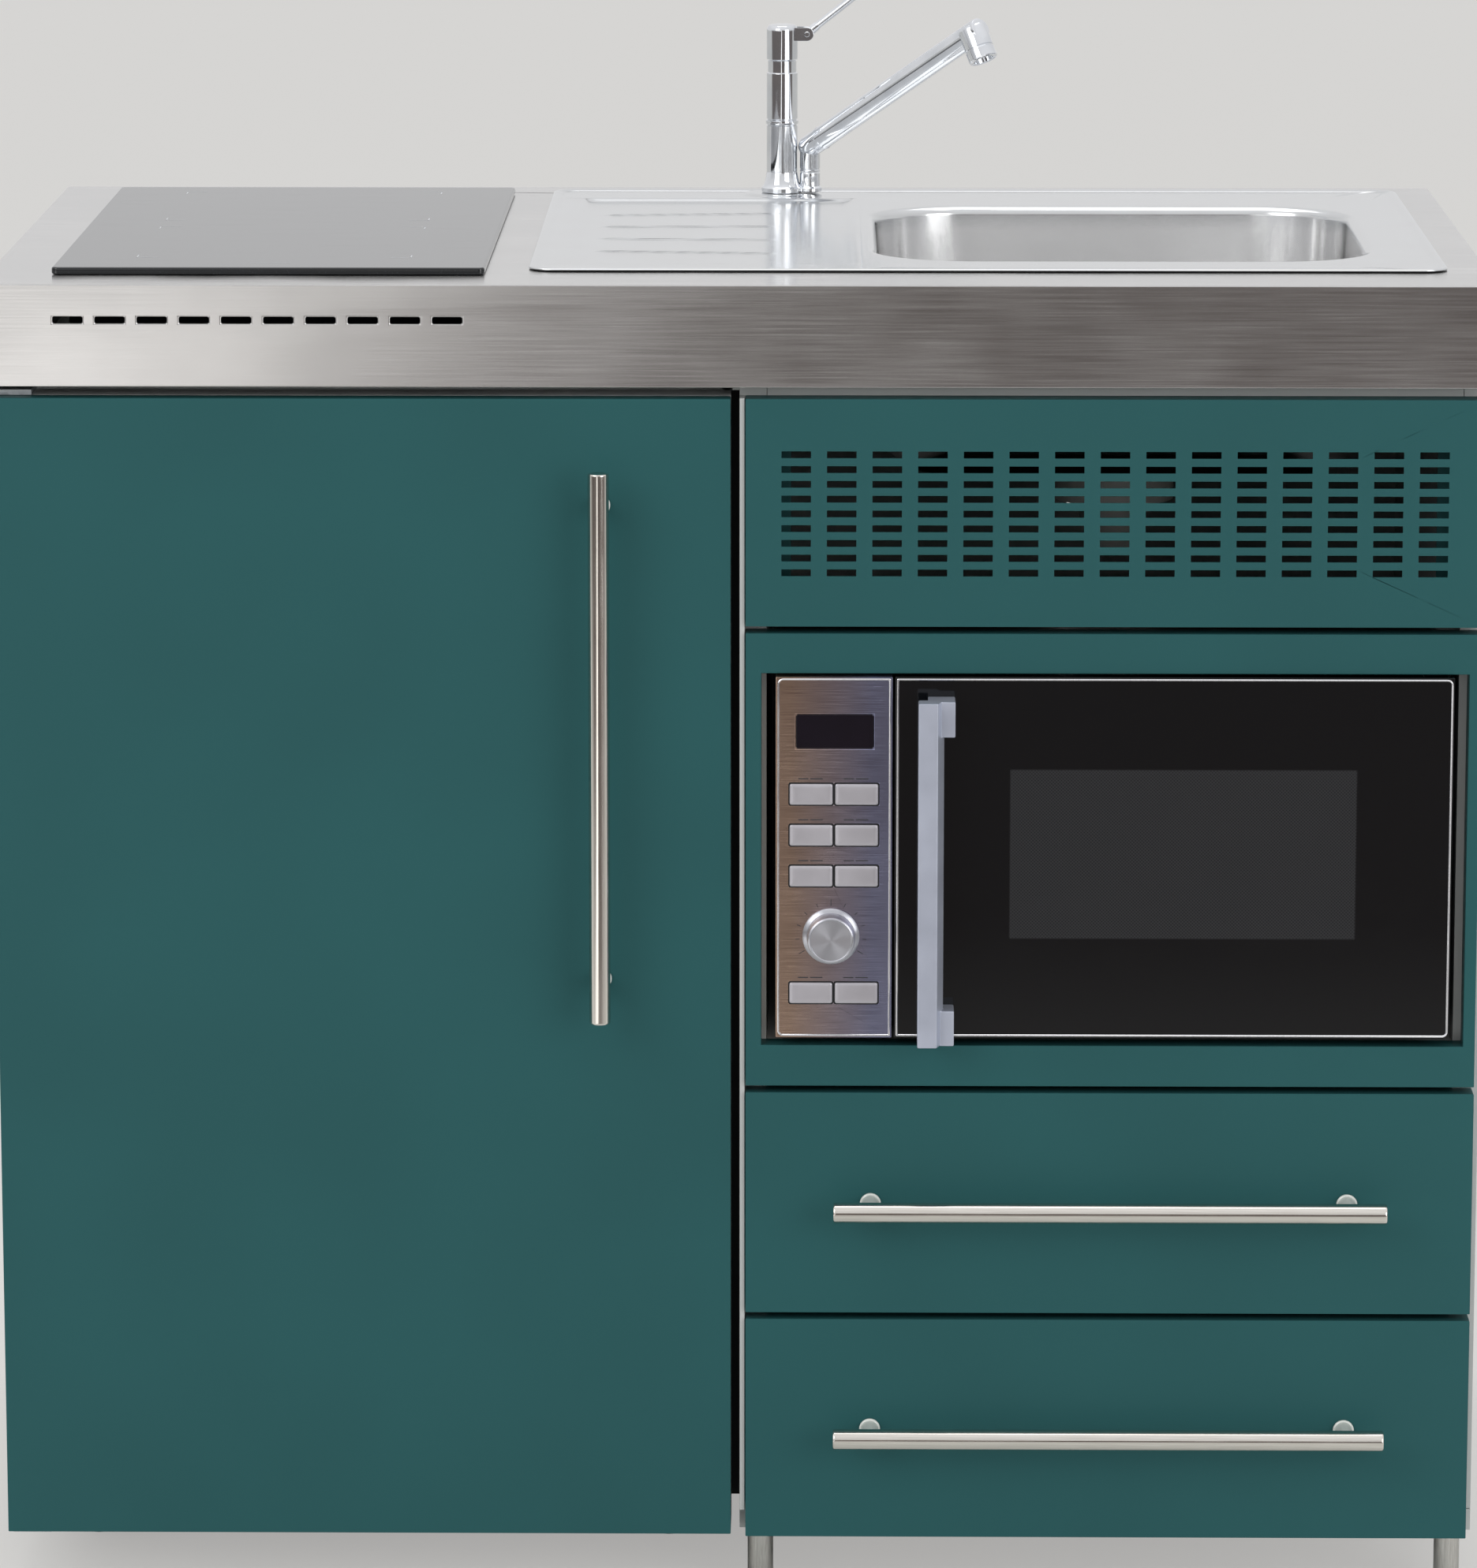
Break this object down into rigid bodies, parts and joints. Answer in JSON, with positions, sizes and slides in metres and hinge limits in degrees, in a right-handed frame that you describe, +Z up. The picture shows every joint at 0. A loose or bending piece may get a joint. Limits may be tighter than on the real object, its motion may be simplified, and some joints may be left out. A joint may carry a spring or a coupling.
{
  "type": "kitchenette unit with sink and hob",
  "caption": "Compact kitchenette: steel worktop with glass hob, inset sink and mixer tap, over a fridge with a teal door, a microwave oven and drawers with bar handles.",
  "frame": {"origin": "on the floor, midway across the width and midway between the handles' faces and the wall face", "axes": "+X to the right seen from the front, +Y towards the wall, +Z up"},
  "size_m": [1, 0.635, 1.0803],
  "materials": {
    "worktop_steel": "fine brushed stainless sheet",
    "sink_steel": "polished pressed stainless sheet",
    "handle_steel": "satin ground stainless bar",
    "leg_steel": "satin stainless tube",
    "zinc_steel": "zinc plated sheet steel",
    "panel_steel": "brushed steel with a warm tint",
    "chrome": "mirror chrome plating",
    "teal_enamel": "satin powder coat, deep teal",
    "grey_enamel": "satin powder coat, light grey",
    "black_steel": "satin black enamel",
    "white_liner": "smooth white moulded liner",
    "clear_plastic": "clear moulded plastic",
    "white_plastic": "matt white moulded plastic",
    "silver_plastic": "silver lacquered plastic",
    "button_plastic": "silver lacquered key",
    "hob_ceramic": "black glass-ceramic, glossy",
    "black_glass": "black backed glass, glossy",
    "clear_glass": "clear toughened glass",
    "black_rubber": "soft black sealing strip",
    "grey_rubber": "soft grey magnetic gasket"
  },
  "bodies": {
    "unit": {"worktop": "worktop_steel", "left_side_panel": "grey_enamel", "divider_panel": "grey_enamel", "right_side_panel": "grey_enamel", "back_panel": "grey_enamel", "base_panel": "grey_enamel", "microwave_shelf": "grey_enamel", "top_rail": "grey_enamel", "leg_front_left": "leg_steel", "leg_front_right": "leg_steel", "leg_rear_left": "leg_steel", "leg_rear_right": "leg_steel", "vent_panel": "teal_enamel", "microwave_surround": "teal_enamel", "upper_runner_left": "zinc_steel", "upper_runner_right": "zinc_steel", "lower_runner_left": "zinc_steel", "lower_runner_right": "zinc_steel", "hob_glass": "hob_ceramic", "hob_casing": "black_steel", "sink": "sink_steel", "sink_seal": "black_rubber", "waste_trap": "white_plastic", "tap_column": "chrome", "fridge_cabinet": "white_liner", "fridge_base": "black_steel", "fridge_shelf": "clear_glass", "crisper_drawer": "clear_plastic", "compressor": "black_steel", "fridge_hinge_lower": "zinc_steel", "fridge_hinge_upper": "zinc_steel", "microwave_casing": "black_steel", "microwave_control_panel": "panel_steel"},
    "fridge_door": {"fridge_door_panel": "teal_enamel", "fridge_door_liner": "white_liner", "fridge_door_seal": "grey_rubber", "door_rack": "clear_plastic", "fridge_handle": "handle_steel"},
    "upper_drawer": {"upper_drawer_front": "teal_enamel", "upper_drawer_handle": "handle_steel", "upper_drawer_box": "grey_enamel"},
    "lower_drawer": {"lower_drawer_front": "teal_enamel", "lower_drawer_handle": "handle_steel", "lower_drawer_box": "grey_enamel"},
    "microwave_door_leaf": {"microwave_door": "black_glass", "microwave_handle": "silver_plastic"},
    "oven_knob": {"microwave_knob": "silver_plastic"},
    "oven_turntable": {"turntable": "clear_glass"},
    "spout": {"tap_spout": "chrome"},
    "cap": {"tap_cap": "chrome"},
    "lever": {"tap_lever": "chrome"},
    "strainer": {"sink_strainer": "sink_steel"},
    "key_row1_left": {"button_row1_left": "button_plastic"},
    "key_row1_right": {"button_row1_right": "button_plastic"},
    "key_row2_left": {"button_row2_left": "button_plastic"},
    "key_row2_right": {"button_row2_right": "button_plastic"},
    "key_row3_left": {"button_row3_left": "button_plastic"},
    "key_row3_right": {"button_row3_right": "button_plastic"},
    "key_row4_left": {"button_row4_left": "button_plastic"},
    "key_row4_right": {"button_row4_right": "button_plastic"}
  },
  "joints": [
    {"name": "fridge_door_hinge", "type": "hinge", "parent": "unit", "child": "fridge_door", "pos_m": [-0.48, -0.2565, 0.436], "axis": [0, 0, -1], "range_deg": [0, 105]},
    {"name": "microwave_door_hinge", "type": "hinge", "parent": "unit", "child": "microwave_door_leaf", "pos_m": [0.46775, -0.274, 0.517], "axis": [0, 0, 1], "range_deg": [0, 95]},
    {"name": "upper_drawer_slide", "type": "slide", "parent": "unit", "child": "upper_drawer", "axis": [0, -1, 0], "range_m": [0, 0.4]},
    {"name": "lower_drawer_slide", "type": "slide", "parent": "unit", "child": "lower_drawer", "axis": [0, -1, 0], "range_m": [0, 0.4]},
    {"name": "oven_knob_turn", "type": "hinge", "parent": "unit", "child": "oven_knob", "pos_m": [0.06255, -0.2905, 0.464], "axis": [0, -1, 0], "continuous": true},
    {"name": "turntable_turn", "type": "hinge", "parent": "unit", "child": "oven_turntable", "pos_m": [0.29275, -0.101, 0.42], "axis": [0, 0, 1], "continuous": true},
    {"name": "spout_swivel", "type": "hinge", "parent": "unit", "child": "spout", "pos_m": [0.0462, 0.2625, 0.93], "axis": [0, 0, -1], "range_deg": [-55, 30]},
    {"name": "tap_cap_turn", "type": "hinge", "parent": "unit", "child": "cap", "pos_m": [0.026, 0.2625, 1.005], "axis": [0, 0, 1], "range_deg": [-40, 40]},
    {"name": "tap_lever_lift", "type": "hinge", "parent": "cap", "child": "lever", "pos_m": [0.044, 0.2625, 1.0178], "axis": [0, -1, 0], "range_deg": [0, 25]},
    {"name": "strainer_lift", "type": "slide", "parent": "unit", "child": "strainer", "axis": [0, 0, 1], "range_m": [0, 0.06]},
    {"name": "key_row1_left_press", "type": "slide", "parent": "unit", "child": "key_row1_left", "axis": [0, 1, 0], "range_m": [0, 0.0012], "stiffness_N_per_m": 500, "springref_m": -0.0004},
    {"name": "key_row1_right_press", "type": "slide", "parent": "unit", "child": "key_row1_right", "axis": [0, 1, 0], "range_m": [0, 0.0012], "stiffness_N_per_m": 500, "springref_m": -0.0004},
    {"name": "key_row2_left_press", "type": "slide", "parent": "unit", "child": "key_row2_left", "axis": [0, 1, 0], "range_m": [0, 0.0012], "stiffness_N_per_m": 500, "springref_m": -0.0004},
    {"name": "key_row2_right_press", "type": "slide", "parent": "unit", "child": "key_row2_right", "axis": [0, 1, 0], "range_m": [0, 0.0012], "stiffness_N_per_m": 500, "springref_m": -0.0004},
    {"name": "key_row3_left_press", "type": "slide", "parent": "unit", "child": "key_row3_left", "axis": [0, 1, 0], "range_m": [0, 0.0012], "stiffness_N_per_m": 500, "springref_m": -0.0004},
    {"name": "key_row3_right_press", "type": "slide", "parent": "unit", "child": "key_row3_right", "axis": [0, 1, 0], "range_m": [0, 0.0012], "stiffness_N_per_m": 500, "springref_m": -0.0004},
    {"name": "key_row4_left_press", "type": "slide", "parent": "unit", "child": "key_row4_left", "axis": [0, 1, 0], "range_m": [0, 0.0012], "stiffness_N_per_m": 500, "springref_m": -0.0004},
    {"name": "key_row4_right_press", "type": "slide", "parent": "unit", "child": "key_row4_right", "axis": [0, 1, 0], "range_m": [0, 0.0012], "stiffness_N_per_m": 500, "springref_m": -0.0004}
  ]
}
